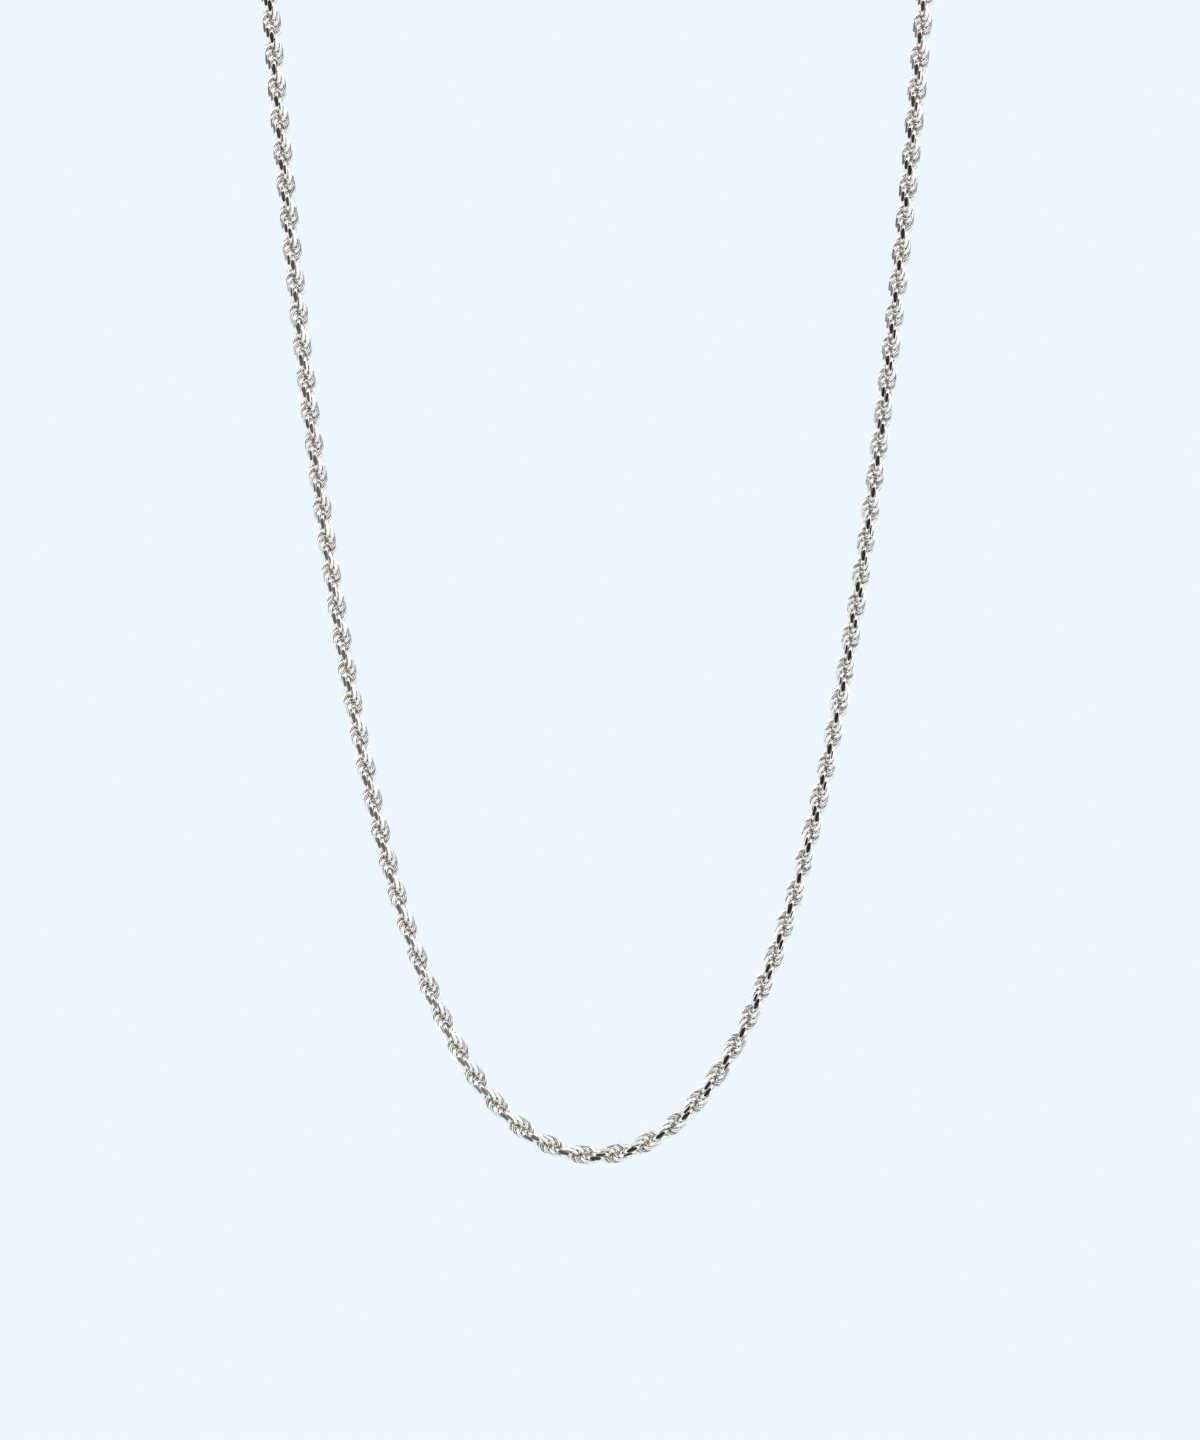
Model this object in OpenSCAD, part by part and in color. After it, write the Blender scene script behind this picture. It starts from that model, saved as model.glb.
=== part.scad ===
// Rope chain necklace, hanging freely as one whole loop.
// Millimetres, +Z up, the loop in the XZ plane. The origin is the middle of the clasp's
// underside, the inner side of the top of the loop, where the necklace hangs.

/* [Rope chain] */
// Length of the closed necklace along its middle line, clasp included
necklace_l = 500; // [400:10:700]
// Full width of the twisted rope
chain_w = 2.3; // [1.6:0.1:3.5]
// Radius of the bend at the lowest point, which sets how wide the chain hangs
bend_r = 12; // [8:0.5:20]

/* [Clasp] */
// Length of the barrel
clasp_l = 12; // [10:0.5:18]
// Wall of the barrel around the chain's end
clasp_wall = 0.35; // [0.3:0.05:0.8]
// How much thicker the barrel is at its middle than at its mouths, on the radius
clasp_belly = 0.3; // [0.1:0.05:0.8]
// How deep the chain's end sits in the barrel
socket_depth = 3; // [2:0.25:4]
// Width of the rounded rim at each mouth
rim_w = 0.8; // [0.5:0.1:1.2]
// How far the rim stands out from the barrel
rim_rise = 0.2; // [0.1:0.05:0.3]
// Width of the seam line around the middle of the barrel
seam_w = 0.15; // [0.1:0.05:0.4]
// Depth of the seam line
seam_depth = 0.1; // [0.05:0.05:0.2]

/* [Fits] */
// Gap between the chain's end and its socket, around it and behind it
seat_gap = 0.1; // [0.05:0.05:0.3]

/* [Hidden] */

// Sides of the chain's tube, and the spacing of its rings in chain widths
TUBE_SIDES = 8;
TIGHT_STEP = 2;
RUN_STEP = 3;
// Stretch on each side of the lowest point that counts as the tight bend, in bend radii
TIGHT_REACH = 2;
ROUND_FN = 96;
// The barrel's long arc is a small piece of a large circle, so that circle is finer
LONG_ARC_FN = 720;

// The chain, from its lowest point up each side: a free hanging arm, which is a catenary,
// then a round quarter turn over the top, then a straight end in the clasp.
half_clasp = clasp_l / 2;
socket_r = chain_w / 2 + seat_gap;
mouth_r = socket_r + clasp_wall;
belly_r = mouth_r + clasp_belly;
// Radius of the long arc from mouth to mouth along the barrel
barrel_arc_r = (half_clasp * half_clasp + clasp_belly * clasp_belly) / (2 * clasp_belly);

function asinh(v) = ln(v + sqrt(v * v + 1));
// Half width of the loop where an arm of this length ends
function arm_reach(arm) = bend_r * asinh(arm / bend_r);
// Angle between the end of the arm and the vertical
function arm_lean(arm) = atan(bend_r / arm);
// Radius of the turn that joins the end of the arm to the clasp
function turn_r(arm) = (arm_reach(arm) - half_clasp) / cos(arm_lean(arm));
function turn_l(arm) = turn_r(arm) * (90 + arm_lean(arm)) * PI / 180;
// Length that the turn and the clasp leave for the arm, which is closer to its real length
function better_arm(arm) = necklace_l / 2 - half_clasp - turn_l(arm);

// Each step is about ten times closer, so six of them leave under a thousandth of a millimetre
arm_l = better_arm(better_arm(better_arm(better_arm(better_arm(better_arm(necklace_l / 2))))));
top_r = turn_r(arm_l);
top_l = turn_l(arm_l);
// Height of the arm, and of the centre of the turn, above the lowest point
arm_h = sqrt(bend_r * bend_r + arm_l * arm_l) - bend_r;
turn_h = arm_h + top_r * sin(arm_lean(arm_l));
// Heights in the part's own frame
axis_z = belly_r;
low_z = axis_z - turn_h - top_r;

// Slope of the chain at a distance s up one side, in degrees from the horizontal
function slope(s) =
    s <= arm_l ? atan(s / bend_r)
    : s <= arm_l + top_l ? 90 - arm_lean(arm_l) + (s - arm_l) / top_r * 180 / PI
    : 180;
// Place of the chain's middle line at that distance, as [x, z]
function side_point(s) =
    s <= arm_l ? [bend_r * asinh(s / bend_r), low_z + sqrt(bend_r * bend_r + s * s) - bend_r]
    : s <= arm_l + top_l ? [half_clasp + top_r * sin(slope(s)), low_z + turn_h - top_r * cos(slope(s))]
    : [half_clasp - (s - arm_l - top_l), axis_z];

// Distances from the lowest point at which the tube has a ring, up one side
mouth_s = arm_l + top_l;
end_s = mouth_s + socket_depth - seat_gap;
tight_s = TIGHT_REACH * bend_r;
tight_count = ceil(tight_s / (TIGHT_STEP * chain_w));
run_count = ceil((mouth_s - tight_s) / (RUN_STEP * chain_w));
side_stations = concat(
    [for (i = [1 : tight_count]) tight_s * i / tight_count],
    [for (i = [1 : run_count]) tight_s + (mouth_s - tight_s) * i / run_count],
    [end_s]
);
side_count = len(side_stations);
stations = concat(
    [for (i = [side_count - 1 : -1 : 0]) -side_stations[i]],
    [0],
    side_stations
);

// One ring of the tube, around the point at the signed distance s
function ring(s) =
    let (
        side = s < 0 ? -1 : 1,
        place = side_point(abs(s)),
        tilt = side * slope(abs(s)),
        r = chain_w / 2
    )
    [for (k = [0 : TUBE_SIDES - 1])
        let (turn = 360 * k / TUBE_SIDES)
        [side * place[0] + r * cos(turn) * sin(tilt), r * sin(turn), place[1] - r * cos(turn) * cos(tilt)]
    ];

// The rope of silver links as a plain tube of the rope's full width
module rope_chain() {
    ring_count = len(stations);
    points = [for (s = stations) each ring(s)];
    walls = [for (i = [0 : ring_count - 2], k = [0 : TUBE_SIDES - 1])
        let (
            here = i * TUBE_SIDES,
            next_k = (k + 1) % TUBE_SIDES
        )
        [here + k, here + TUBE_SIDES + k, here + TUBE_SIDES + next_k, here + next_k]
    ];
    first_end = [for (k = [0 : TUBE_SIDES - 1]) k];
    last_end = [for (k = [TUBE_SIDES - 1 : -1 : 0]) (ring_count - 1) * TUBE_SIDES + k];
    color("silver")
        polyhedron(points = points, faces = concat(walls, [first_end, last_end]));
}

// Half section of the barrel: its long arc and a rounded rim at each mouth, cut off square
module barrel_section() {
    intersection() {
        union() {
            translate([belly_r - barrel_arc_r, 0])
                circle(r = barrel_arc_r, $fn = LONG_ARC_FN);
            for (end = [-1, 1])
                translate([mouth_r + rim_rise - rim_w / 2, end * (half_clasp - rim_w / 3)])
                    circle(d = rim_w, $fn = ROUND_FN);
        }
        translate([0, -half_clasp])
            square([belly_r + rim_rise, clasp_l]);
    }
}

// Plain barrel that holds both ends of the chain
module clasp() {
    color("gainsboro")
        translate([0, 0, axis_z])
            rotate([0, 90, 0])
                difference() {
                    rotate_extrude($fn = ROUND_FN)
                        barrel_section();
                    for (end = [0, 180])
                        rotate([end, 0, 0])
                            translate([0, 0, half_clasp - socket_depth])
                                cylinder(r = socket_r, h = 2 * socket_depth, $fn = ROUND_FN);
                    rotate_extrude($fn = ROUND_FN)
                        translate([belly_r - seam_depth, -seam_w / 2])
                            square([2 * seam_depth, seam_w]);
                }
}

rope_chain();
clasp();
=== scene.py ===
"""The looks of a silver rope chain necklace: every link, the barrel clasp and a small studio.

Everything is in metres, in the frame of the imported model: +Z up, the loop in the XZ plane, the
origin at the inner side of the clasp. Sizes in millimetres are written as a number times MM.
"""

from __future__ import annotations

import logging
import math
from dataclasses import dataclass, field
from enum import Enum, IntEnum
from typing import Any

import bmesh
import bpy
import numpy as np
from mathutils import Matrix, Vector
from mathutils.bvhtree import BVHTree

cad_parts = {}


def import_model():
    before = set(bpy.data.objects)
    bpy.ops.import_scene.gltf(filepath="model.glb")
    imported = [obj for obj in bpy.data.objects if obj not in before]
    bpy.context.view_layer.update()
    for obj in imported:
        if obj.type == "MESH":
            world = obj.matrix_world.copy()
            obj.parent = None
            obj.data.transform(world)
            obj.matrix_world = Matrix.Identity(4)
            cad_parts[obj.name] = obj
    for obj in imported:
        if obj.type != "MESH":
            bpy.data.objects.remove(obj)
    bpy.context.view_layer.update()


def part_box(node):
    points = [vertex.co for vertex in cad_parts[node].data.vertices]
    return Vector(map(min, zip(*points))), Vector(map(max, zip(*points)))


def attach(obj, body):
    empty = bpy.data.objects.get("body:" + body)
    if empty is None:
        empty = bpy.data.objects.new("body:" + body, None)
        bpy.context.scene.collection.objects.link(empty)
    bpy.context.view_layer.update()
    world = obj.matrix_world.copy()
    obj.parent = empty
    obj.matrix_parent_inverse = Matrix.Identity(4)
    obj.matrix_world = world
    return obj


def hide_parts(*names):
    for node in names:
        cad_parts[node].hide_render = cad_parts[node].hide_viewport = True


LOG = logging.getLogger("rope_chain")
MM = 0.001
BODY = "root"


class Slot(Enum):
    """Names of material slots for the rope and the clasp, which the pieces do not use."""

    ROPE = "rope_silver"
    CLASP = "clasp_silver"


class Face(Enum):
    """Which finish a face has, as its material index."""

    ROUND = 0
    CUT = 1


class Play(IntEnum):
    """Column of the random numbers that each part of a link's play is drawn in."""

    TURN = 0
    LEAN = 1
    SKEW = 2
    SIDE = 3
    OUT = 4


def store(mesh: bpy.types.Mesh, name: str, values: np.ndarray) -> None:
    """Stores a number at every point of a mesh.

    Args:
        mesh: The mesh.
        name: Name of the new attribute.
        values: One number for each point.
    """
    kept = mesh.attributes.new(name, "FLOAT", "POINT")
    kept.data.foreach_set("value", values.astype(np.float32))


@dataclass(frozen=True)
class Grain:
    """How fine a noise is, in the object's own space.

    Attributes:
        scale: Number of blotches in a metre.
        detail: Number of finer layers.
        stretch: Factor on each axis of the space.
    """

    scale: float
    detail: float
    stretch: tuple[float, float, float] = (1.0, 1.0, 1.0)


class ShaderValue:
    """A number in a shader. Arithmetic on it adds Math nodes to its tree."""

    def __init__(self, tree: "ShaderTree", socket: bpy.types.NodeSocket) -> None:
        """Wraps a socket.

        Args:
            tree: The tree that the socket belongs to.
            socket: An output that gives one number.
        """
        self.tree = tree
        self.socket = socket

    def __add__(self, other: "ShaderValue | float") -> "ShaderValue":
        """Returns the sum."""
        return self.tree.maths("ADD", self, other)

    __radd__ = __add__

    def __sub__(self, other: "ShaderValue | float") -> "ShaderValue":
        """Returns the difference."""
        return self.tree.maths("SUBTRACT", self, other)

    def __rsub__(self, other: float) -> "ShaderValue":
        """Returns a number less this value."""
        return self.tree.maths("SUBTRACT", other, self)

    def __mul__(self, other: "ShaderValue | float") -> "ShaderValue":
        """Returns the product."""
        return self.tree.maths("MULTIPLY", self, other)

    __rmul__ = __mul__

    def between(self, low: float, high: float) -> "ShaderValue":
        """Rises smoothly from 0 at one value to 1 at another.

        Args:
            low: Value that gives 0.
            high: Value that gives 1.

        Returns:
            The share, from 0 to 1.
        """
        node = self.tree.node(
            "ShaderNodeMapRange",
            {"interpolation_type": "SMOOTHSTEP"},
            {"Value": self, "From Min": low, "From Max": high},
        )
        return ShaderValue(self.tree, node.outputs["Result"])


class ShaderTree:
    """Adds nodes to the tree of a material or of the world."""

    def __init__(self, owner: bpy.types.Material | bpy.types.World) -> None:
        """Starts with an empty tree.

        Args:
            owner: The material or world that gets the nodes.
        """
        owner.use_nodes = True
        self.tree = owner.node_tree
        self.tree.nodes.clear()

    def node(
        self,
        kind: str,
        settings: dict[str, Any] | None = None,
        inputs: dict[str | int, Any] | None = None,
    ) -> bpy.types.Node:
        """Adds a node.

        Args:
            kind: Blender's name of the node's type.
            settings: The node's own settings, which are set before its inputs.
            inputs: A value, a socket or a ShaderValue for each input, by its name or number.

        Returns:
            The new node.
        """
        node = self.tree.nodes.new(kind)
        for name, value in (settings or {}).items():
            setattr(node, name, value)
        for name, value in (inputs or {}).items():
            if isinstance(value, ShaderValue):
                value = value.socket
            if isinstance(value, bpy.types.NodeSocket):
                self.tree.links.new(value, node.inputs[name])
            else:
                node.inputs[name].default_value = value
        return node

    def maths(
        self, operation: str, first: ShaderValue | float, second: ShaderValue | float
    ) -> ShaderValue:
        """Adds a Math node.

        Args:
            operation: Blender's name of the operation.
            first: The first number.
            second: The second number.

        Returns:
            The result.
        """
        node = self.node("ShaderNodeMath", {"operation": operation}, {0: first, 1: second})
        return ShaderValue(self, node.outputs[0])

    def mix(
        self,
        share: ShaderValue,
        first: bpy.types.NodeSocket | tuple[float, ...],
        second: bpy.types.NodeSocket | tuple[float, ...],
    ) -> bpy.types.NodeSocket:
        """Mixes two colours.

        Args:
            share: The second colour's share.
            first: The colour where the share is 0.
            second: The colour where the share is 1.

        Returns:
            The mixed colour's socket.
        """
        node = self.node(
            "ShaderNodeMix",
            {"data_type": "RGBA", "clamp_factor": True},
            {0: share, 6: first, 7: second},
        )
        return node.outputs[2]

    def attribute(self, name: str) -> ShaderValue:
        """Reads a number stored on the mesh."""
        node = self.node("ShaderNodeAttribute", {"attribute_name": name})
        return ShaderValue(self, node.outputs["Fac"])

    def noise(self, grain: Grain) -> ShaderValue:
        """Adds noise in the object's own space.

        Args:
            grain: How fine it is.

        Returns:
            The noise, from 0 to 1.
        """
        place = self.node("ShaderNodeTexCoord")
        mapping = self.node(
            "ShaderNodeMapping",
            {"vector_type": "POINT"},
            {"Vector": place.outputs["Object"], "Scale": grain.stretch},
        )
        noise = self.node(
            "ShaderNodeTexNoise",
            {"noise_dimensions": "3D"},
            {"Vector": mapping.outputs["Vector"], "Scale": grain.scale, "Detail": grain.detail},
        )
        return ShaderValue(self, noise.outputs["Fac"])


@dataclass(frozen=True)
class SilverFinish:
    """Polished silver with a film deep in the grooves, and brown tarnish with painted shade in the
    sheltered crevices.

    The mesh stores how deep and how sheltered each point is, as groove_depth and shelter. Where
    both are 0, the metal is clean.

    Attributes:
        name: The material's name.
        silver: Colour of the clean metal.
        film: Colour of the metal deep in the grooves.
        gloss: Roughness of the clean metal.
        dulled: How much rougher the metal under the film is.
        film_from: Groove depth at which the film starts, as a share of the rope's radius.
        film_full: Groove depth at which it is full.
        film_wander: How far its edge wanders, as a share of the rope's radius.
        film_grain: Grain that its edge wanders by.
        tarnish_and_shade: Colour of the crevices, brown tarnish with painted shade that darkens
            them.
        tarnish_and_shade_from: Shelter at which the tarnish and painted shade start to darken the
            crevices.
        tarnish_and_shade_full: Shelter at which they are darkest.
        hairlines: Strength of the fine polishing lines.
        hairline_depth: Their depth at full strength.
        hairline_grain: Their grain, drawn out along the Z axis.
        worn: How much rougher the worn spots are.
        worn_from: Noise at which the wear starts.
        worn_full: Noise at which it is full.
        worn_grain: Grain of the worn spots.
    """

    name: str
    silver: tuple[float, float, float, float] = (0.93, 0.933, 0.925, 1.0)
    film: tuple[float, float, float, float] = (0.8, 0.73, 0.6, 1.0)
    gloss: float = 0.07
    dulled: float = 0.1
    film_from: float = 0.15
    film_full: float = 0.85
    film_wander: float = 0.35
    film_grain: Grain = Grain(900.0, 3.0)
    # Brown tarnish with painted shade: the sheltered crevices are darkened in the colour, standing
    # in for the shade between the wires.
    tarnish_and_shade: tuple[float, float, float, float] = (0.5, 0.42, 0.3, 1.0)
    tarnish_and_shade_from: float = 0.66
    tarnish_and_shade_full: float = 0.95
    hairlines: float = 0.05
    hairline_depth: float = 0.01 * MM
    hairline_grain: Grain = Grain(4000.0, 2.0, (1.0, 1.0, 0.12))
    worn: float = 0.04
    worn_from: float = 0.5
    worn_full: float = 0.8
    worn_grain: Grain = Grain(2500.0, 2.0, (1.0, 1.0, 0.5))

    def material(self) -> bpy.types.Material:
        """Makes the material.

        Returns:
            The new material.
        """
        made = bpy.data.materials.new(self.name)
        tree = ShaderTree(made)
        wander = self.film_wander * (tree.noise(self.film_grain) - 0.5)
        depth = tree.attribute("groove_depth") + wander
        filmed = depth.between(self.film_from, self.film_full)
        # Painted shade: where the shelter share is high, the colour darkens to brown, as tarnish
        # together with painted shade between the wires.
        sheltered = tree.attribute("shelter").between(self.tarnish_and_shade_from, self.tarnish_and_shade_full)
        colour = tree.mix(filmed, self.silver, self.film)
        colour = tree.mix(sheltered, colour, self.tarnish_and_shade)
        wear = tree.noise(self.worn_grain).between(self.worn_from, self.worn_full)
        bump = tree.node(
            "ShaderNodeBump",
            None,
            {
                "Strength": self.hairlines,
                "Distance": self.hairline_depth,
                "Height": tree.noise(self.hairline_grain),
            },
        )
        metal = tree.node(
            "ShaderNodeBsdfPrincipled",
            None,
            {
                "Base Color": colour,
                "Metallic": 1.0,
                "Roughness": self.gloss + self.dulled * filmed + self.worn * wear,
                "Normal": bump.outputs["Normal"],
            },
        )
        tree.node("ShaderNodeOutputMaterial", None, {"Surface": metal.outputs["BSDF"]})
        return made


@dataclass(frozen=True)
class FloorFinish:
    """Plain pale matt floor with a barely seen unevenness.

    Attributes:
        name: The material's name.
        colour: Its lighter colour.
        shade: Its darker colour.
        grain: Grain that the two are mixed by.
        roughness: Its roughness.
    """

    name: str = "pale_floor"
    colour: tuple[float, float, float, float] = (0.86, 0.90, 0.95, 1.0)
    shade: tuple[float, float, float, float] = (0.82, 0.86, 0.91, 1.0)
    grain: Grain = Grain(6.0, 2.0)
    roughness: float = 0.8

    def material(self) -> bpy.types.Material:
        """Makes the material.

        Returns:
            The new material.
        """
        made = bpy.data.materials.new(self.name)
        tree = ShaderTree(made)
        colour = tree.mix(tree.noise(self.grain), self.colour, self.shade)
        matt = tree.node(
            "ShaderNodeBsdfPrincipled", None, {"Base Color": colour, "Roughness": self.roughness}
        )
        tree.node("ShaderNodeOutputMaterial", None, {"Surface": matt.outputs["BSDF"]})
        return made


@dataclass
class HangingLine:
    """Middle line of the chain, by the distance from its lowest point.

    Up each side it is a free hanging arm, which is a catenary, then a round quarter turn over
    the top, then a straight end in the clasp. Distances on the left side are negative.

    Attributes:
        half_clasp: Half of the clasp's length.
        axis_z: Height of the clasp's middle line.
        necklace_l: Length of the whole closed loop.
        bend_r: Radius of the bend at the lowest point.
        rounds: Times that the length of the arm is bettered, each ten times closer.
    """

    half_clasp: float
    axis_z: float
    necklace_l: float = 500 * MM
    bend_r: float = 12 * MM
    rounds: int = 8
    arm_l: float = field(init=False)
    turn_r: float = field(init=False)
    turn_l: float = field(init=False)
    centre_z: float = field(init=False)
    low_z: float = field(init=False)

    def __post_init__(self) -> None:
        """Works out the arm, the turn and the heights from the necklace's length."""
        self.arm_l = self.necklace_l / 2
        for _ in range(self.rounds):
            lean = math.atan(self.bend_r / self.arm_l)
            reach = self.bend_r * math.asinh(self.arm_l / self.bend_r)
            self.turn_r = (reach - self.half_clasp) / math.cos(lean)
            self.turn_l = self.turn_r * (math.pi / 2 + lean)
            self.arm_l = self.necklace_l / 2 - self.half_clasp - self.turn_l
        arm_h = math.hypot(self.bend_r, self.arm_l) - self.bend_r
        turn_h = arm_h + self.turn_r * math.sin(lean)
        self.low_z = self.axis_z - self.turn_r - turn_h
        self.centre_z = self.low_z + turn_h

    def frames(self, distance: np.ndarray) -> tuple[np.ndarray, np.ndarray, np.ndarray]:
        """Gives the place and directions of the chain.

        Args:
            distance: Signed distances from the lowest point.

        Returns:
            The places, the directions away from the loop's inside, and the directions along the
            chain, one row for each distance.
        """
        side = np.where(distance < 0, -1.0, 1.0)
        run = np.abs(distance)
        swing = (run - self.arm_l) / self.turn_r
        start = math.atan2(self.arm_l, self.bend_r)
        parts = [run <= self.arm_l, run <= self.arm_l + self.turn_l]
        slope = np.select(parts, [np.arctan2(run, self.bend_r), start + swing], math.pi)
        end_x = self.half_clasp - (run - self.arm_l - self.turn_l)
        x = np.select(
            parts,
            [
                self.bend_r * np.arcsinh(run / self.bend_r),
                self.half_clasp + self.turn_r * np.sin(slope),
            ],
            end_x,
        )
        z = np.select(
            parts,
            [
                self.low_z + np.hypot(self.bend_r, run) - self.bend_r,
                self.centre_z - self.turn_r * np.cos(slope),
            ],
            self.axis_z,
        )
        zero = np.zeros_like(x)
        along = np.stack([np.cos(slope), zero, side * np.sin(slope)], axis=1)
        outward = np.stack([along[:, 2], zero, -along[:, 0]], axis=1)
        return np.stack([side * x, zero, z], axis=1), outward, along


@dataclass(frozen=True)
class Roll:
    """How far the rope has rolled about its own line at one place.

    Attributes:
        at: Distance of the place from the lowest point.
        links: Roll of the links, in degrees.
        flats: Roll of the flats, in degrees.
    """

    at: float
    links: float
    flats: float


@dataclass
class RopeChain:
    """The rope: round silver links laid round each other to the left, then cut flat on the outside.

    Each link is a ring of round wire as wide as the rope, so that it shows on both strands. It is
    turned and moved on from the one before it by a fixed step. The flats lie in planes round the
    rope, as a diamond tool leaves them on a chain that is stretched straight.

    Attributes:
        line: The chain's middle line.
        end_s: Distance from the lowest point at which the rope ends in the clasp.
        half_turn: Length in which the rope makes half a turn.
        links_a_half_turn: Links in that length.
        wire_d: Thickness of the links' wire.
        ring_r: Radius of a link's middle line.
        ring_stretch: Length of a link over its width.
        lean: How far a link leans along the lay, in degrees.
        skew: How far a link is turned out of the rope's own radial plane, in degrees.
        gap: Part of the ring that is open, in degrees, so that the links nest in each other.
        gap_turn: Place of the gap round the link, in degrees, where 90 is the end toward the next
            link to the right.
        flat_count: Number of directions in which the outside is cut.
        flat_r: Distance of the flats from the rope's middle line.
        flat_turn: Turn of the first cutting direction from the outward direction, in degrees.
        facing_s: Distance up the right side at which a link lies across the view.
        facing_turn: That link's turn from the outward direction, in degrees.
        rolls: Roll of the rope at a few places, from the left end to the right one.
        loose_turn: Random turn of a link in its play, in degrees.
        loose_shift: Random shift of a link in its play.
        around_ring: Sections of wire round a link.
        around_wire: Sides of a section.
        piece_count: Number of meshes that the rope is split into.
        shelter_links: Neighbours on each side that can shelter a link.
        shelter_rays: Directions in which a point of a link looks for them.
        shelter_reach: How far it looks.
        shelter_lift: How far off the wire it looks from, as a share of the wire's thickness.
        seed: Start of the random numbers.
    """

    line: HangingLine
    end_s: float
    half_turn: float = 3.833 * MM
    links_a_half_turn: float = 6.155
    wire_d: float = 0.42 * MM
    ring_r: float = 1.01 * MM
    ring_stretch: float = 1.06
    lean: float = -0.5
    skew: float = -2.0
    gap: float = 34.0
    gap_turn: float = 90.0
    flat_count: int = 8
    flat_r: float = 1.03 * MM
    flat_turn: float = -90.0
    facing_s: float = 89.08 * MM
    facing_turn: float = -90.0
    rolls: tuple[Roll, ...] = (
        Roll(at=-146 * MM, links=-77.0, flats=10.0),
        Roll(at=-110 * MM, links=-81.0, flats=13.0),
        Roll(at=-76 * MM, links=-79.0, flats=14.0),
        Roll(at=-41 * MM, links=-74.0, flats=14.0),
        Roll(at=-27 * MM, links=-68.0, flats=15.0),
        Roll(at=-17 * MM, links=-54.0, flats=15.0),
        Roll(at=-6 * MM, links=-33.0, flats=11.0),
        Roll(at=6 * MM, links=-20.0, flats=5.0),
        Roll(at=29 * MM, links=-9.0, flats=0.0),
        Roll(at=64 * MM, links=2.0, flats=0.0),
        Roll(at=88 * MM, links=0.0, flats=0.0),
        Roll(at=111 * MM, links=-9.0, flats=-5.0),
        Roll(at=135 * MM, links=-19.0, flats=-12.0),
        Roll(at=147 * MM, links=-21.0, flats=-12.0),
    )
    loose_turn: float = 0.7
    loose_shift: float = 0.012 * MM
    around_ring: int = 44
    around_wire: int = 12
    piece_count: int = 8
    shelter_links: int = 5
    shelter_rays: int = 160
    shelter_reach: float = 1.2 * MM
    shelter_lift: float = 0.03
    seed: int = 11

    @property
    def step(self) -> float:
        """Gives the distance from one link to the next."""
        return self.half_turn / self.links_a_half_turn

    def build(self) -> list[bpy.types.Object]:
        """Makes the links, in pieces along the chain.

        Returns:
            The pieces, from the left end to the right one.
        """
        reach = self.end_s - self.ring_r * self.ring_stretch - self.wire_d / 2
        first = math.ceil((-reach - self.facing_s) / self.step)
        last = math.floor((reach - self.facing_s) / self.step)
        numbers = np.arange(first, last + 1)
        play = np.random.default_rng(self.seed).normal(size=(len(numbers), len(Play)))
        LOG.info("rope: %d links", len(numbers))
        finishes = {
            Face.ROUND: SilverFinish("rope_silver_round"),
            Face.CUT: SilverFinish("rope_silver_cut", gloss=0.03, dulled=0.0, hairlines=0.02),
        }
        materials = [finishes[face].material() for face in Face]
        shelter = self._shelter()
        LOG.info("shelter: %.2f to %.2f", shelter.min(), shelter.max())
        made = []
        for index, chosen in enumerate(np.array_split(np.arange(len(numbers)), self.piece_count)):
            piece = self._piece(f"rope_links_{index + 1}", numbers[chosen], play[chosen], shelter)
            for material in materials:
                piece.data.materials.append(material)
            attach(piece, BODY)
            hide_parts("rope_chain")
            made.append(piece)
        return made

    def _rings(
        self, numbers: np.ndarray, play: np.ndarray, twist: np.ndarray | float = 0.0
    ) -> np.ndarray:
        """Works out the links on a straight rope.

        Args:
            numbers: The links' numbers, counted from the one that faces the view.
            play: Random numbers for each link's play.
            twist: Further turn of each link about the rope, in degrees.

        Returns:
            Points, by link, section and side, relative to the link's own place on the line.
        """
        turn = np.radians(
            self.facing_turn
            - 180.0 / self.links_a_half_turn * numbers
            + self.loose_turn * play[:, Play.TURN]
            + twist
        )
        lean = np.radians(self.lean + self.loose_turn * play[:, Play.LEAN])
        skew = np.radians(self.skew + self.loose_turn * play[:, Play.SKEW])
        zero = np.zeros_like(turn)
        radial = np.stack([np.cos(turn), np.sin(turn), zero], axis=1)
        side = np.stack([-np.sin(turn), np.cos(turn), zero], axis=1)
        rope = np.array([0.0, 0.0, 1.0])
        up = np.cos(lean)[:, None] * rope + np.sin(lean)[:, None] * side
        normal = np.cross(radial, up)
        out = np.cos(skew)[:, None] * radial + np.sin(skew)[:, None] * normal
        across = np.cross(out, up)
        start = math.radians(self.gap_turn + self.gap / 2)
        angle = np.linspace(start, start + math.radians(360 - self.gap), self.around_ring)
        long = self.ring_stretch
        cosine, sine = np.cos(angle)[None, :, None], np.sin(angle)[None, :, None]
        place = self.ring_r * (cosine * out[:, None] + long * sine * up[:, None])
        away = long * cosine * out[:, None] + sine * up[:, None]
        away /= np.linalg.norm(away, axis=2, keepdims=True)
        around = np.linspace(0, 2 * math.pi, self.around_wire, endpoint=False)
        wire = self.wire_d / 2 * (
            np.cos(around)[None, None, :, None] * away[:, :, None]
            + np.sin(around)[None, None, :, None] * across[:, None, None]
        )
        shift = self.loose_shift * (
            play[:, Play.SIDE, None] * side + play[:, Play.OUT, None] * radial
        )
        return place[:, :, None] + wire + shift[:, None, None]

    def _faces(self, count: int) -> list[list[int]]:
        """Lists the corners of every face of the rings.

        Args:
            count: Number of rings.

        Returns:
            One list of corner numbers for each face: the sides of the wire, then its two ends.
        """
        ring, section, wire = np.meshgrid(
            np.arange(count),
            np.arange(self.around_ring - 1),
            np.arange(self.around_wire),
            indexing="ij",
        )
        next_wire = (wire + 1) % self.around_wire

        def corner(a: np.ndarray, b: np.ndarray) -> np.ndarray:
            """Numbers a grid point."""
            return (ring * self.around_ring + a) * self.around_wire + b

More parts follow.
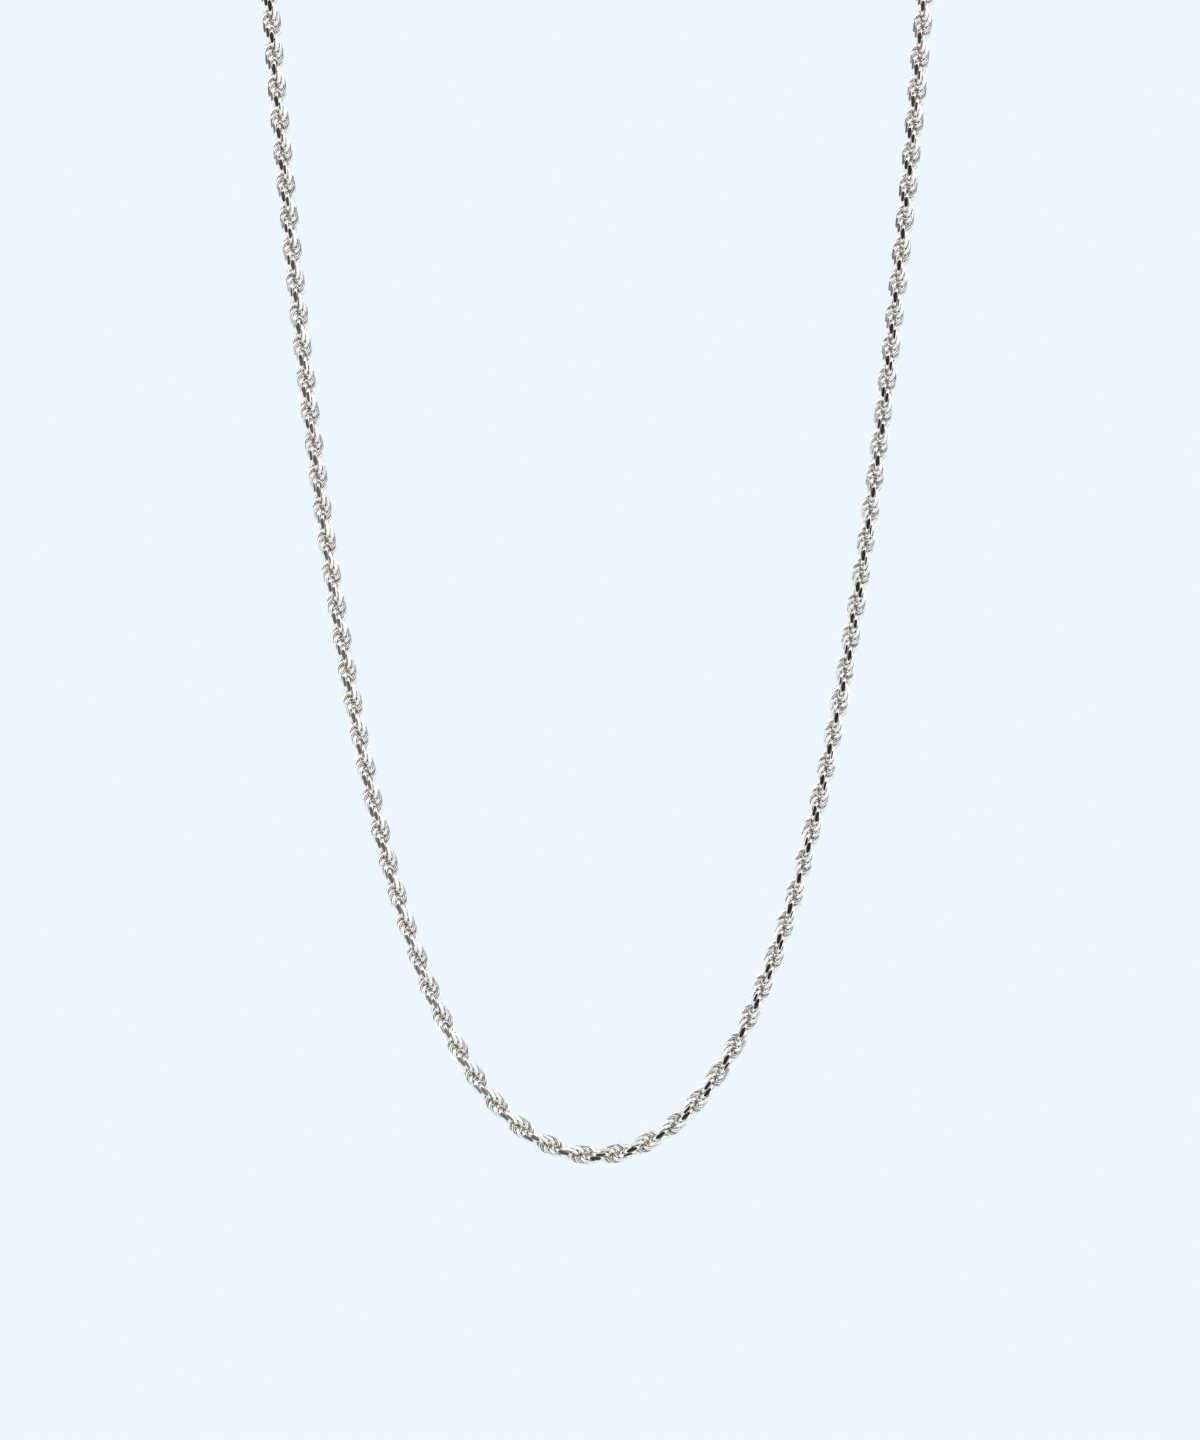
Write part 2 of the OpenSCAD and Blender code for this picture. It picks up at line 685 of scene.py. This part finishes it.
        sides = [
            corner(section, wire),
            corner(section + 1, wire),
            corner(section + 1, next_wire),
            corner(section, next_wire),
        ]
        size = self.around_ring * self.around_wire
        start = np.arange(count)[:, None] * size + np.arange(self.around_wire)
        end = start[:, ::-1] + size - self.around_wire
        return [*np.stack(sides, axis=-1).reshape(-1, 4).tolist(), *start.tolist(), *end.tolist()]

    def _shelter(self) -> np.ndarray:
        """Works out how much of the view from each point of a link is hidden, alike for all links.

        Returns:
            The hidden share at each point, by section and side.
        """
        numbers = np.arange(-self.shelter_links, self.shelter_links + 1)
        rings = self._rings(numbers, np.zeros((len(numbers), len(Play))))
        rings[..., 2] += (numbers * self.step)[:, None, None]
        tree = BVHTree.FromPolygons(rings.reshape(-1, 3).tolist(), self._faces(len(numbers)))
        link = rings[self.shelter_links]
        normal = link - link.mean(axis=1, keepdims=True)
        normal /= np.linalg.norm(normal, axis=2, keepdims=True)
        # The rays are spread evenly over a sphere, along a spiral from pole to pole.
        order = np.arange(self.shelter_rays) + 0.5
        polar = np.arccos(1 - 2 * order / self.shelter_rays)
        around = math.pi * (1 + math.sqrt(5)) * order
        rays = np.stack(
            [np.cos(around) * np.sin(polar), np.sin(around) * np.sin(polar), np.cos(polar)], axis=1
        )
        share = np.zeros(link.shape[:2])
        for place in np.ndindex(share.shape):
            start = Vector(link[place] + self.shelter_lift * self.wire_d * normal[place])
            cosine = rays @ normal[place]
            hidden = sum(
                weight
                for ray, weight in zip(rays[cosine > 0], cosine[cosine > 0])
                if tree.ray_cast(start, Vector(ray), self.shelter_reach)[0]
            )
            share[place] = hidden / cosine[cosine > 0].sum()
        return share

    def _cut(self, mesh: bpy.types.Mesh) -> None:
        """Cuts the outside of the straight rope flat in every cutting direction.

        Args:
            mesh: The rings, which get a flat face wherever they stand out.
        """
        work = bmesh.new()
        work.from_mesh(mesh)
        for number in range(self.flat_count):
            turn = math.radians(self.flat_turn) + 2 * math.pi * number / self.flat_count
            normal = Vector((math.cos(turn), math.sin(turn), 0.0))
            outside = [v for v in work.verts if v.co.dot(normal) > self.flat_r]
            # Dictionaries keep their order, so that every run cuts in the same order.
            faces = dict.fromkeys(f for v in outside for f in v.link_faces)
            edges = dict.fromkeys(e for f in faces for e in f.edges)
            verts = dict.fromkeys(v for f in faces for v in f.verts)
            cut = bmesh.ops.bisect_plane(
                work,
                geom=[*verts, *edges, *faces],
                plane_co=normal * self.flat_r,
                plane_no=normal,
                clear_outer=True,
            )
            rims = [e for e in cut["geom_cut"] if isinstance(e, bmesh.types.BMEdge)]
            filled = bmesh.ops.holes_fill(work, edges=rims, sides=0)
            for face in filled["faces"]:
                face.smooth = False
                face.material_index = Face.CUT.value
        work.to_mesh(mesh)
        work.free()

    def _piece(
        self, name: str, numbers: np.ndarray, play: np.ndarray, shelter: np.ndarray
    ) -> bpy.types.Object:
        """Makes one stretch of links.

        Args:
            name: The piece's name.
            numbers: Numbers of its links.
            play: Random numbers for each link's play.
            shelter: The hidden share at each point of a link.

        Returns:
            The new object.
        """
        distance = self.facing_s + numbers * self.step
        at = [roll.at for roll in self.rolls]
        link_roll = np.interp(distance, at, [roll.links for roll in self.rolls])
        flat_roll = np.interp(distance, at, [roll.flats for roll in self.rolls])
        points = self._rings(numbers, play, link_roll - flat_roll).reshape(-1, 3)
        mesh = bpy.data.meshes.new(name)
        mesh.from_pydata(points.tolist(), [], self._faces(len(numbers)))
        mesh.polygons.foreach_set("use_smooth", [len(face.vertices) == 4 for face in mesh.polygons])
        # The hidden share darkens the links' colour in the crevices, as tarnish with painted shade.
        store(mesh, "shelter", np.tile(shelter.ravel(), len(numbers)))
        store(mesh, "link", np.repeat(np.arange(len(numbers)), shelter.size))
        self._cut(mesh)
        self._lay(mesh, distance, np.radians(flat_roll))
        piece = bpy.data.objects.new(name, mesh)
        bpy.context.scene.collection.objects.link(piece)
        return piece

    def _lay(self, mesh: bpy.types.Mesh, distance: np.ndarray, roll: np.ndarray) -> None:
        """Moves straight, cut links to their places on the line, and stores how deep they lie.

        Args:
            mesh: The links, each about its own middle, with its number among them as "link".
            distance: Each link's distance from the lowest point.
            roll: Each link's roll about the line, in radians.
        """
        count = len(mesh.vertices)
        local = np.empty(count * 3, np.float32)
        mesh.vertices.foreach_get("co", local)
        local = local.reshape(-1, 3).astype(float)
        link = np.empty(count, np.float32)
        mesh.attributes["link"].data.foreach_get("value", link)
        mesh.attributes.remove(mesh.attributes["link"])
        chosen = np.rint(link).astype(int)
        cosine, sine = np.cos(roll)[chosen], np.sin(roll)[chosen]
        x = local[:, 0] * cosine - local[:, 1] * sine
        y = local[:, 0] * sine + local[:, 1] * cosine
        place, outward, along = self.line.frames(distance)
        placed = (
            place[chosen]
            + x[:, None] * outward[chosen]
            + y[:, None] * np.array([0.0, 1.0, 0.0])
            + local[:, 2:3] * along[chosen]
        )
        mesh.vertices.foreach_set("co", placed.astype(np.float32).ravel())
        depth = 1.0 - np.hypot(local[:, 0], local[:, 1]) / self.flat_r
        store(mesh, "groove_depth", np.clip(depth, 0.0, 1.0))
        mesh.update()


@dataclass
class BarrelClasp:
    """The barrel clasp: two silver cups that meet at a fine seam, with a rounded rim at each mouth.

    Attributes:
        low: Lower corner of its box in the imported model.
        high: Upper corner of that box.
        mouth_r: Radius of the barrel at its mouths, without the rim.
        socket_r: Radius of the holes that the rope's ends go into.
        socket_l: Depth of those holes.
        seat_gap: Gap between a rope's end and the bottom of its hole.
        hub_r: Radius of the plain face in the middle of that bottom.
        rim_w: Width of a rim's round.
        rim_rise: Rise of the rims above the barrel.
        seam_w: Width of the seam.
        seam_depth: Depth of the seam.
        edge_r: Size of the broken edges.
        sharp: Angle over which an edge is shaded sharp, in degrees.
        around: Sides of the barrel.
        barrel_steps: Points along half of the barrel's outline.
        rim_steps: Points round a rim.
        rim_search: Steps in which a rim is searched for the place where it meets the barrel.
    """

    low: Vector
    high: Vector
    mouth_r: float = 1.6 * MM
    socket_r: float = 1.25 * MM
    socket_l: float = 3.0 * MM
    seat_gap: float = 0.1 * MM
    hub_r: float = 0.125 * MM
    rim_w: float = 0.8 * MM
    rim_rise: float = 0.2 * MM
    seam_w: float = 0.15 * MM
    seam_depth: float = 0.1 * MM
    edge_r: float = 0.04 * MM
    sharp: float = 50.0
    around: int = 160
    barrel_steps: int = 24
    rim_steps: int = 16
    rim_search: int = 721

    @property
    def rope_inset(self) -> float:
        """Gives how far from the clasp's middle a rope's end lies."""
        return self.high.x - self.socket_l + self.seat_gap

    @property
    def belly_r(self) -> float:
        """Gives the barrel's radius at its middle."""
        return (self.high.z - self.low.z) / 2

    def build(self) -> bpy.types.Object:
        """Makes the clasp.

        Returns:
            The new object.
        """
        half = self._half_profile()
        profile = np.array([(-x, r) for x, r in reversed(half)] + half)
        angle = np.linspace(0, 2 * math.pi, self.around, endpoint=False)
        middle = (self.low.z + self.high.z) / 2
        ring = np.stack([np.zeros_like(angle), np.sin(angle), np.cos(angle)], axis=1)
        points = profile[:, None, 1:2] * ring[None]
        points[..., 0] = profile[:, 0:1]
        points[..., 2] += middle
        rows, count = len(profile), self.around
        sides = [(b, (b + 1) % count) for b in range(count)]
        faces = [
            (a * count + b, (a + 1) * count + b, (a + 1) * count + c, a * count + c)
            for a in range(rows - 1)
            for b, c in sides
        ]
        faces += [tuple(range(count - 1, -1, -1)), tuple(range((rows - 1) * count, rows * count))]
        mesh = bpy.data.meshes.new("barrel_clasp")
        mesh.from_pydata(points.reshape(-1, 3).tolist(), [], faces)
        mesh.polygons.foreach_set("use_smooth", [True] * len(mesh.polygons))
        mesh.set_sharp_from_angle(angle=math.radians(self.sharp))
        depth = np.clip(1.0 - profile[:, 1] / self.mouth_r, 0.0, 1.0)
        near_seam = np.abs(profile[:, 0]) < self.seam_w
        in_seam = near_seam & (profile[:, 1] < self.belly_r - self.seam_depth / 2)
        in_hole = profile[:, 1] < self.socket_r + self.edge_r / 2
        store(mesh, "groove_depth", np.repeat(depth, count))
        # Painted shade: the seam and the holes are marked fully sheltered, so their colour is
        # darkened to the brown of tarnish with painted shade.
        store(mesh, "shelter", np.repeat(in_seam | in_hole, count))
        mesh.materials.append(SilverFinish("clasp_silver_polish").material())
        mesh.update()
        clasp = bpy.data.objects.new("barrel_clasp", mesh)
        bpy.context.scene.collection.objects.link(clasp)
        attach(clasp, BODY)
        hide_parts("clasp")
        return clasp

    def _half_profile(self) -> list[tuple[float, float]]:
        """Lists the outline of one half, from the seam over the rim to the bottom of the hole.

        Returns:
            Pairs of a place along the barrel and a radius.
        """
        half = self.high.x
        rise = self.belly_r - self.mouth_r
        arc_r = (half**2 + rise**2) / (2 * rise)
        centre_r = self.belly_r - arc_r
        round_r = self.rim_w / 2
        # The mouth cuts the rim's round a third of its width out from its middle.
        rim_x, rim_r = half - self.rim_w / 3, self.mouth_r + self.rim_rise - round_r

        def barrel(x: float) -> float:
            """Gives the barrel's radius."""
            return centre_r + math.sqrt(arc_r**2 - x**2)

        side, edge, bevel = self.seam_w / 2, self.edge_r, self.edge_r / 3
        points = [(side, self.belly_r - self.seam_depth)]
        points += [(side, barrel(side) - edge), (side + bevel, barrel(side) - bevel)]
        along = np.linspace(side + edge, half - self.rim_w, self.barrel_steps)
        points += [(x, barrel(x)) for x in along]
        start = next(
            turn
            for turn in np.linspace(math.pi, 0, self.rim_search)
            if rim_r + round_r * math.sin(turn) > barrel(rim_x + round_r * math.cos(turn))
        )
        end = math.acos((half - rim_x) / round_r)
        for turn in np.linspace(start, end, self.rim_steps):
            points.append((rim_x + round_r * math.cos(turn), rim_r + round_r * math.sin(turn)))
        points += [(half, self.socket_r + edge), (half - bevel, self.socket_r + bevel)]
        points += [(half - edge, self.socket_r), (half - self.socket_l, self.socket_r)]
        return points + [(half - self.socket_l, self.hub_r)]


@dataclass(frozen=True)
class TentPatch:
    """A round patch of the light tent: a dark opening in its cloth, or a lamp behind it.

    Attributes:
        toward: Direction from the necklace to its middle.
        inner: Half angle of its even middle, in degrees.
        outer: Half angle at which it has faded out, in degrees.
        light: Brightness of its even middle.
    """

    toward: tuple[float, float, float]
    inner: float
    outer: float
    light: float

    def over(
        self, tree: ShaderTree, ray: bpy.types.NodeSocket, light: ShaderValue | float
    ) -> ShaderValue:
        """Lays the patch over the tent.

        Args:
            tree: The world's tree.
            ray: Direction of the ray.
            light: Brightness of the tent.

        Returns:
            The brightness with the patch.
        """
        along = tree.node(
            "ShaderNodeVectorMath",
            {"operation": "DOT_PRODUCT"},
            {0: ray, 1: Vector(self.toward).normalized()},
        )
        share = ShaderValue(tree, along.outputs["Value"]).between(
            math.cos(math.radians(self.outer)), math.cos(math.radians(self.inner))
        )
        return light * (1.0 - share) + self.light * share


@dataclass
class Backdrop:
    """Plain backdrop that the camera sees, and the light tent that the silver mirrors instead.

    Attributes:
        seen: Colour behind the object.
        cloth: Colour of the tent.
        tent: Its brightness.
        patches: The tent's patches, each laid over those before it.
    """

    seen: tuple[float, float, float, float] = (0.855, 0.93, 1.0, 1.0)
    cloth: tuple[float, float, float, float] = (0.97, 1.0, 0.995, 1.0)
    tent: float = 1.06
    patches: tuple[TentPatch, ...] = (
        # Dark gaps at the left, at the lower right and overhead.
        TentPatch((-0.9, 0.42, -0.05), 12.0, 34.0, 0.15),
        TentPatch((0.75, 0.43, -0.5), 8.0, 30.0, 0.15),
        TentPatch((-0.1, 0.15, 1.0), 8.0, 34.0, 0.35),
        # Lamps at the upper left, low in front and at the upper right.
        TentPatch((-0.71, -0.6, 0.37), 15.0, 34.0, 1.7),
        TentPatch((-0.13, -0.73, -0.67), 8.0, 26.0, 2.5),
        TentPatch((0.8, 0.14, 0.57), 15.0, 40.0, 1.4),
        # A lit ring behind the chain with a dark opening in it.
        TentPatch((-0.15, 1.0, 0.0), 46.0, 60.0, 1.5),
        TentPatch((0.1, 1.0, 0.0), 9.0, 42.0, 0.06),
        # The dark opening round the camera.
        TentPatch((-0.1, -1.0, 0.0), 12.0, 47.0, 0.025),
    )

    def build(self) -> None:
        """Makes the world, with the backdrop for the camera and the tent for all else."""
        world = bpy.data.worlds.new("light_tent")
        bpy.context.scene.world = world
        tree = ShaderTree(world)
        place = tree.node("ShaderNodeTexCoord")
        light: ShaderValue | float = self.tent
        for patch in self.patches:
            light = patch.over(tree, place.outputs["Generated"], light)
        tent = tree.node(
            "ShaderNodeBackground", None, {"Color": self.cloth, "Strength": light}
        )
        seen = tree.node("ShaderNodeBackground", None, {"Color": self.seen, "Strength": 1.0})
        path = tree.node("ShaderNodeLightPath")
        both = tree.node(
            "ShaderNodeMixShader",
            None,
            {
                0: path.outputs["Is Camera Ray"],
                1: tent.outputs["Background"],
                2: seen.outputs["Background"],
            },
        )
        tree.node("ShaderNodeOutputWorld", None, {"Surface": both.outputs["Shader"]})


@dataclass(frozen=True)
class Softbox:
    """A square soft light that shines at the necklace.

    Attributes:
        name: Its name.
        toward: Direction from the necklace to it.
        away: Its distance from the necklace.
        size: Side of the square.
        glow: Its brightness.
    """

    name: str
    toward: tuple[float, float, float]
    away: float
    size: float
    glow: float

    def build(self, aim: Vector) -> None:
        """Makes the light.

        Args:
            aim: The point that it shines at.
        """
        data = bpy.data.lights.new(self.name, "AREA")
        data.shape = "SQUARE"
        data.size = self.size
        data.energy = self.glow * math.pi * self.size**2
        light = bpy.data.objects.new(self.name, data)
        toward = Vector(self.toward).normalized()
        light.location = aim + self.away * toward
        light.rotation_euler = toward.to_track_quat("Z", "Y").to_euler()
        bpy.context.scene.collection.objects.link(light)


@dataclass
class Studio:
    """Floor, soft light and the camera.

    Attributes:
        view_x: Place of the picture's middle across the loop.
        view_z: Height of the picture's middle.
        view_h: Height of the picture at the chain.
        tilt: Turn of the camera about its own line of sight, in degrees.
        lens: Focal length in millimetres.
        sensor: Long side of the sensor in millimetres.
        sight: Distance to which the camera sees.
        floor_z: Height of the floor, under the picture's lower edge.
        floor_size: Side of the floor.
        softbox: The soft light.
    """

    view_x: float = 0.47 * MM
    view_z: float = -159.2 * MM
    view_h: float = 168.9 * MM
    tilt: float = -0.1
    lens: float = 400.0
    sensor: float = 36.0
    sight: float = 20.0
    floor_z: float = -750 * MM
    floor_size: float = 1.6
    softbox: Softbox = Softbox(
        name="left_softbox", toward=(-0.6, -0.5, 0.62), away=1.3, size=0.4, glow=1.8
    )

    def build(self) -> None:
        """Makes the floor, the light and the camera."""
        bpy.context.scene.view_settings.view_transform = "Standard"
        self._floor()
        self.softbox.build(Vector((0.0, 0.0, self.view_z)))
        self._camera()

    def _camera(self) -> None:
        """Makes the camera, which looks along the Y axis."""
        data = bpy.data.cameras.new("camera")
        data.lens = self.lens
        data.sensor_width = self.sensor
        data.sensor_fit = "AUTO"
        data.clip_end = self.sight
        camera = bpy.data.objects.new("camera", data)
        away = self.view_h * self.lens / self.sensor
        camera.location = (self.view_x, -away, self.view_z)
        camera.rotation_euler = (math.pi / 2, math.radians(self.tilt), 0.0)
        bpy.context.scene.collection.objects.link(camera)
        bpy.context.scene.camera = camera

    def _floor(self) -> None:
        """Makes the plain floor."""
        half = self.floor_size / 2
        corners = [(-half, -half), (half, -half), (half, half), (-half, half)]
        mesh = bpy.data.meshes.new("floor")
        mesh.from_pydata([(x, y, self.floor_z) for x, y in corners], [], [(0, 1, 2, 3)])
        mesh.materials.append(FloorFinish().material())
        floor = bpy.data.objects.new("floor", mesh)
        bpy.context.scene.collection.objects.link(floor)


def main() -> None:
    """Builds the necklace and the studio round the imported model."""
    logging.basicConfig(level=logging.INFO, format="%(name)s: %(message)s")
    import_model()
    clasp_low, clasp_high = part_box("clasp")
    rope_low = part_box("rope_chain")[0]
    line = HangingLine(half_clasp=clasp_high.x, axis_z=(clasp_low.z + clasp_high.z) / 2)
    LOG.info("lowest point %.5f m, tube's %.5f m", line.low_z, rope_low.z)
    clasp = BarrelClasp(clasp_low, clasp_high)
    rope = RopeChain(line, end_s=line.necklace_l / 2 - clasp.rope_inset)
    for piece in [*rope.build(), clasp.build()]:
        LOG.info("%s: %d faces", piece.name, len(piece.data.polygons))
    Backdrop().build()
    Studio().build()


if __name__ == "__main__":
    main()
